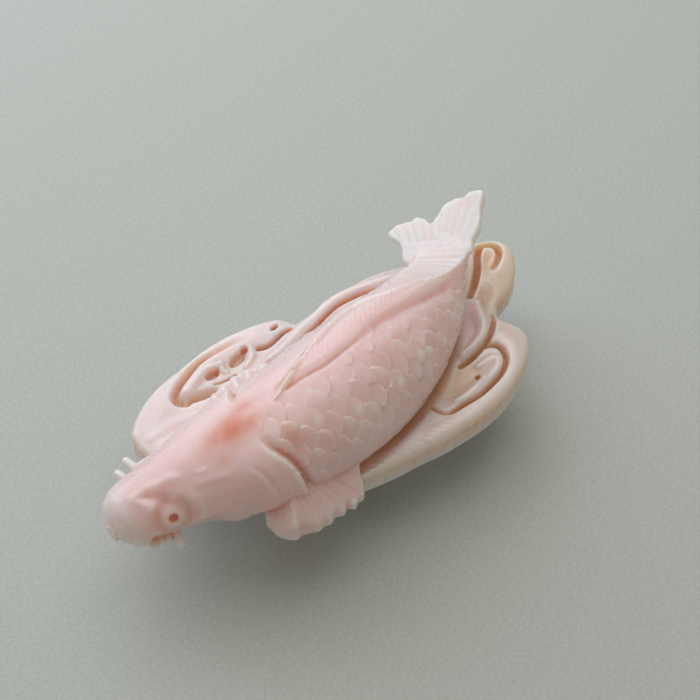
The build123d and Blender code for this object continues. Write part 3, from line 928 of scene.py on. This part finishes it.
def field_normals(field, points, step):
    """The way out of the coral at each point, from how the field grows around it."""
    parts = []
    for axis in range(3):
        offset = np.zeros(3)
        offset[axis] = 0.8 * step
        parts.append(read_grid(field, points + offset, step) - read_grid(field, points - offset, step))
    normals = np.stack(parts, 1)
    return normals / np.maximum(np.linalg.norm(normals, axis=1, keepdims=True), 1e-9)


def add_value(mesh, name, values):
    attribute = mesh.attributes.new(name, "FLOAT", "POINT")
    attribute.data.foreach_set("value", np.asarray(values, np.float32))


def colour_zones(body, plan, mesh, here):
    """Numbers at each vertex that the coral's colours are mixed by."""
    x, y, z = here.T.astype(float)
    at, _, phi, _, flat = body.place(x, y, z)
    fish = koi(body, x, y, z)
    on_fish = smooth(-0.1, 0.25, waves(x, y, z, plan, False) - fish)
    to_tail = close_to(*TAIL_BOX, tail_fin, x, y, z)
    to_right_fin = close_to(*FAR_PECTORAL_BOX, far_pectoral, x, y, z)
    fin = smooth(0.25, 0.1, np.minimum(to_tail, to_right_fin))
    left_fin = smooth(0.3, 0.1, close_to(*NEAR_PECTORAL_BOX, near_pectoral, x, y, z))
    head = smooth(-15.5, -21.0, at)
    pale = np.maximum(0.9 * smooth(3.5, 10.5, at) * smooth(8, -25, phi), flat * smooth(7.0, 10.0, at))
    flesh = on_fish * (1 - 0.15 * head) * (1 - pale) * (1 - 0.5 * smooth(5, -45, phi))
    flesh = np.maximum(flesh * (1 - fin), 0.85 * left_fin)
    add_value(mesh, "flesh", flesh)
    # The front of the snout is painted paler: a painted highlight for the window's reflection on the lips
    lips = 0.85 * smooth(-24.9, -27.2, at)
    add_value(mesh, "pale", np.maximum(np.maximum(pale, lips) * on_fish, fin * smooth(8.0, 10.0, x)))
    low = (1 - on_fish) * (1 - left_fin)
    # Ochre: a yellower tone at the tail end and in the right lobe, and painted shade on the sunk floors of
    # the bed, where it is laid on more strongly
    right = smooth(-2.5, 2.0, x) * smooth(-6.0, -7.0, y)
    sunk = smooth(8.75, 8.2, z)
    tail_end = smooth(10.5, 14.5, x) * (0.55 + 0.45 * sunk)
    ochre_and_shade = np.maximum(tail_end, np.maximum(right * (0.1 + 0.75 * sunk), 0.5 * sunk))
    add_value(mesh, "ochre_and_shade", low * ochre_and_shade * smooth(6.5, 7.2, z))
    inward, sideways, own = scale_edge(body, at, phi)
    scaled = scaled_share(at, phi, flat) * on_fish * (1 - fin)
    # Scale outlines, lighter where the engraving is rough, and painted glints: bright patches on the facets
    # of some scales in a band along the flank
    line = bell(inward, 0.09) * (0.32 + 0.25 * own[..., 0])
    painted_glint = smooth(-0.25, 0.3, own[..., 0]) * bell(inward - 0.22, 0.16)
    painted_glint = painted_glint * bell(sideways - 0.25 * own[..., 1], 0.22)
    add_value(mesh, "line", scaled * np.maximum(line, painted_glint * bell(phi - 44, 19)))
    centre = skin_point(body, EYE[0], EYE[1], 0.0)
    reach = np.sqrt((x - centre[0]) ** 2 + (y - centre[1]) ** 2 + (z - centre[2]) ** 2)
    blush_and_shade = np.maximum(0.8 * smooth(0.6, 0.3, reach), 0.25 * bell(reach - 1.35, 0.5))
    for px, py, pz, rx, ry, rz, weight in RED_PATCHES_AND_SHADE:
        reach = ((x - px) / rx) ** 2 + ((y - py) / ry) ** 2 + ((z - pz) / rz) ** 2
        blush_and_shade = np.maximum(blush_and_shade, weight * np.exp(-reach))
    add_value(mesh, "blush_and_shade", blush_and_shade)


def coral_piece():
    body = Body()
    plan = Plan(body)
    field, step = sculpt(body, plan)
    points, quads = surface_net(field, step)
    shift = to_frame()
    name = "coral_koi_and_waves"
    piece = bpy.data.objects.new(name, new_mesh(name, points + shift, quads))
    bpy.context.scene.collection.objects.link(piece)
    lighten(piece, TRIANGLE_BUDGET)
    mesh = piece.data
    co = np.empty(len(mesh.vertices) * 3, np.float32)
    mesh.vertices.foreach_get("co", co)
    here = co.reshape(-1, 3) - shift
    # How much coral there is round each place: over one half in a hollow, under it on an edge
    solid = np.clip(0.5 - 0.7 * field / step, 0, 1)
    half = [n // 2 * 2 for n in solid.shape]
    solid = solid[:half[0], :half[1], :half[2]]
    solid = solid.reshape(half[0] // 2, 2, half[1] // 2, 2, half[2] // 2, 2).mean((1, 3, 5))
    # These two values set where painted shade darkens the hollows and deep places in the coral's material
    for value, radius in (("crevice", 1), ("depth", 4)):
        blurred = box_blur(solid, radius)
        add_value(mesh, value, (read_grid(blurred, here - step / 2, step * 2) - 0.5) * 2)
    colour_zones(body, plan, mesh, here)
    co = (co.reshape(-1, 3) * MM).ravel()
    mesh.vertices.foreach_set("co", co)
    mesh.update()
    mesh.normals_split_custom_set_from_vertices(field_normals(field, here, step).tolist())
    return piece


class Nodes:
    """Short calls for building a material's nodes."""

    def __init__(self, name):
        self.material = bpy.data.materials.new(name)
        self.material.use_nodes = True
        self.tree = self.material.node_tree
        self.shader = self.tree.nodes["Principled BSDF"]

    def add(self, kind, inputs=None, **settings):
        node = self.tree.nodes.new(kind)
        for key, value in settings.items():
            setattr(node, key, value)
        for key, value in (inputs or {}).items():
            self.feed(node.inputs[key], value)
        return node

    def feed(self, socket, value):
        """Links a node's output to a socket, or sets a plain value on it."""
        if isinstance(value, bpy.types.NodeSocket):
            self.tree.links.new(value, socket)
        else:
            socket.default_value = value

    def value(self, name):
        return self.add("ShaderNodeAttribute", attribute_name=name).outputs["Fac"]

    def spot(self):
        return self.add("ShaderNodeTexCoord").outputs["Object"]

    def noise(self, scale, detail=4.0, where=None):
        inputs = {"Scale": scale, "Detail": detail, "Vector": where or self.spot()}
        return self.add("ShaderNodeTexNoise", inputs).outputs["Fac"]

    def ramp(self, value, low, high, out_low=0.0, out_high=1.0):
        inputs = {"Value": value, "From Min": low, "From Max": high, "To Min": out_low, "To Max": out_high}
        return self.add("ShaderNodeMapRange", inputs, clamp=True).outputs["Result"]

    def mix(self, factor, a, b):
        node = self.tree.nodes.new("ShaderNodeMix")
        node.data_type = "RGBA"
        for socket, value in ((node.inputs[0], factor), (node.inputs[6], a), (node.inputs[7], b)):
            self.feed(socket, value)
        return node.outputs[2]

    def math(self, operation, a, b=0.0):
        node = self.tree.nodes.new("ShaderNodeMath")
        node.operation = operation
        for socket, value in zip(node.inputs, (a, b)):
            self.feed(socket, value)
        return node.outputs[0]

    def drive(self, socket, value):
        self.feed(self.shader.inputs[socket], value)


def coral_material():
    n = Nodes("angel_skin_coral")
    crevice = n.value("crevice")
    depth = n.value("depth")
    cloud = n.ramp(n.noise(150.0, 3.0), 0.35, 0.7)
    base = n.mix(cloud, *WAVE_PINK)
    flesh = n.mix(cloud, *FLESH_PINK)
    base = n.mix(n.value("flesh"), base, flesh)
    # Paler tail and fins, and a painted highlight on the front of the snout
    base = n.mix(n.value("pale"), base, TAIL_WHITE)
    # Ochre tone of the coral, with painted shade on the sunk floors of the bed
    base = n.mix(n.value("ochre_and_shade"), base, OCHRE_TONE_AND_SHADE)
    worn = n.ramp(crevice, -0.05, -0.4)
    base = n.mix(n.math("MULTIPLY", worn, 0.5), base, WORN_WHITE)
    # Painted shade: hollows and places deep among the coral are darkened towards red-brown, or a darker
    # ochre on the ochre parts
    hollow = n.ramp(crevice, 0.03, 0.36)
    deep = n.ramp(depth, 0.06, 0.5)
    painted_shade = n.math("MAXIMUM", n.math("MULTIPLY", hollow, 0.65), n.math("MULTIPLY", deep, 0.55))
    shade_colour = n.mix(n.value("ochre_and_shade"), PINK_PAINTED_SHADE, OCHRE_PAINTED_SHADE)
    base = n.mix(painted_shade, base, shade_colour)
    # Lighter scale outlines, and painted glints on the facets of some scales
    base = n.mix(n.math("MULTIPLY", n.value("line"), 0.85), base, PAINTED_GLINT_WHITE)
    # Redder patches of the coral, and painted shade in the valley at the foot of the back fin
    base = n.mix(n.value("blush_and_shade"), base, RED_BLUSH_AND_SHADE)
    n.drive("Base Color", base)
    n.drive("Roughness", n.ramp(n.noise(900.0, 3.0), 0.3, 0.7, 0.24, 0.36))
    n.drive("Coat Weight", 0.35)
    n.drive("Coat Roughness", 0.14)
    n.drive("Subsurface Weight", 0.8)
    n.drive("Subsurface Radius", (1.0, 0.5, 0.35))
    n.drive("Subsurface Scale", 0.0035)
    n.drive("IOR", 1.5)
    bump = n.add("ShaderNodeBump", {"Strength": 0.12, "Distance": 0.0001, "Height": n.noise(2600.0, 4.0)})
    n.drive("Normal", bump.outputs["Normal"])
    return n.material


def metal_material():
    n = Nodes("satin_silver")
    stretch = {"Vector": n.spot(), "Scale": (40.0, 900.0, 900.0)}
    grain = n.noise(1.0, 5.0, n.add("ShaderNodeMapping", stretch).outputs["Vector"])
    n.drive("Base Color", n.mix(n.ramp(grain, 0.3, 0.7), (0.60, 0.59, 0.57, 1), (0.72, 0.71, 0.69, 1)))
    n.drive("Metallic", 1.0)
    n.drive("Roughness", n.ramp(grain, 0.3, 0.7, 0.26, 0.42))
    bump = n.add("ShaderNodeBump", {"Strength": 0.15, "Distance": 0.00005, "Height": grain})
    n.drive("Normal", bump.outputs["Normal"])
    return n.material


def floor_material():
    n = Nodes("pale_paper")
    fibres = n.noise(3000.0, 2.0)
    base = n.mix(n.ramp(fibres, 0.3, 0.7), (0.475, 0.50, 0.49, 1), (0.545, 0.57, 0.56, 1))
    n.drive("Base Color", base)
    n.drive("Roughness", 0.9)
    return n.material


def floor():
    corners = [(a * FLOOR_HALF, b * FLOOR_HALF, 0) for a, b in ((-1, -1), (1, -1), (1, 1), (-1, 1))]
    mesh = bpy.data.meshes.new("floor")
    mesh.from_pydata(corners, [], [(0, 1, 2, 3)])
    piece = bpy.data.objects.new("floor", mesh)
    mesh.materials.append(floor_material())
    bpy.context.scene.collection.objects.link(piece)


def look_at(thing, place, target):
    thing.location = place
    thing.rotation_euler = (Vector(target) - Vector(place)).to_track_quat("-Z", "Y").to_euler()


def camera(shift):
    azimuth, elevation = radians(CAMERA_AZIMUTH), radians(CAMERA_ELEVATION)
    back = Vector((sin(azimuth) * cos(elevation), -cos(azimuth) * cos(elevation), sin(elevation)))
    aim = (Vector(CAMERA_AIM) + Vector(shift)) * MM
    data = bpy.data.cameras.new("camera")
    data.lens = FOCAL_PIXELS / PHOTO_SIDE * SENSOR
    data.sensor_width = SENSOR
    data.clip_start = 0.01
    data.clip_end = 10.0
    thing = bpy.data.objects.new("camera", data)
    bpy.context.scene.collection.objects.link(thing)
    look_at(thing, aim + back * CAMERA_DISTANCE * MM, aim)
    bpy.context.scene.camera = thing


def area_light(name, place, size, power, colour):
    data = bpy.data.lights.new(name, "AREA")
    data.shape = "RECTANGLE"
    data.size, data.size_y = size
    data.energy = power
    data.color = colour
    thing = bpy.data.objects.new(name, data)
    bpy.context.scene.collection.objects.link(thing)
    look_at(thing, place, LIT_POINT)


def lights():
    for row in LIGHTS:
        area_light(*row)
    world = bpy.data.worlds.new("room")
    world.use_nodes = True
    background = world.node_tree.nodes["Background"]
    background.inputs["Color"].default_value = ROOM_COLOUR
    background.inputs["Strength"].default_value = ROOM_STRENGTH
    bpy.context.scene.world = world
    bpy.context.scene.view_settings.view_transform = "Standard"


coral = coral_piece()
coral.data.materials.append(coral_material())
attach(coral, "root")
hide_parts("coral_carving")

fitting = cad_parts["back_fitting"]
fitting.data.materials.clear()
fitting.data.materials.append(metal_material())

floor()
camera(to_frame())
lights()
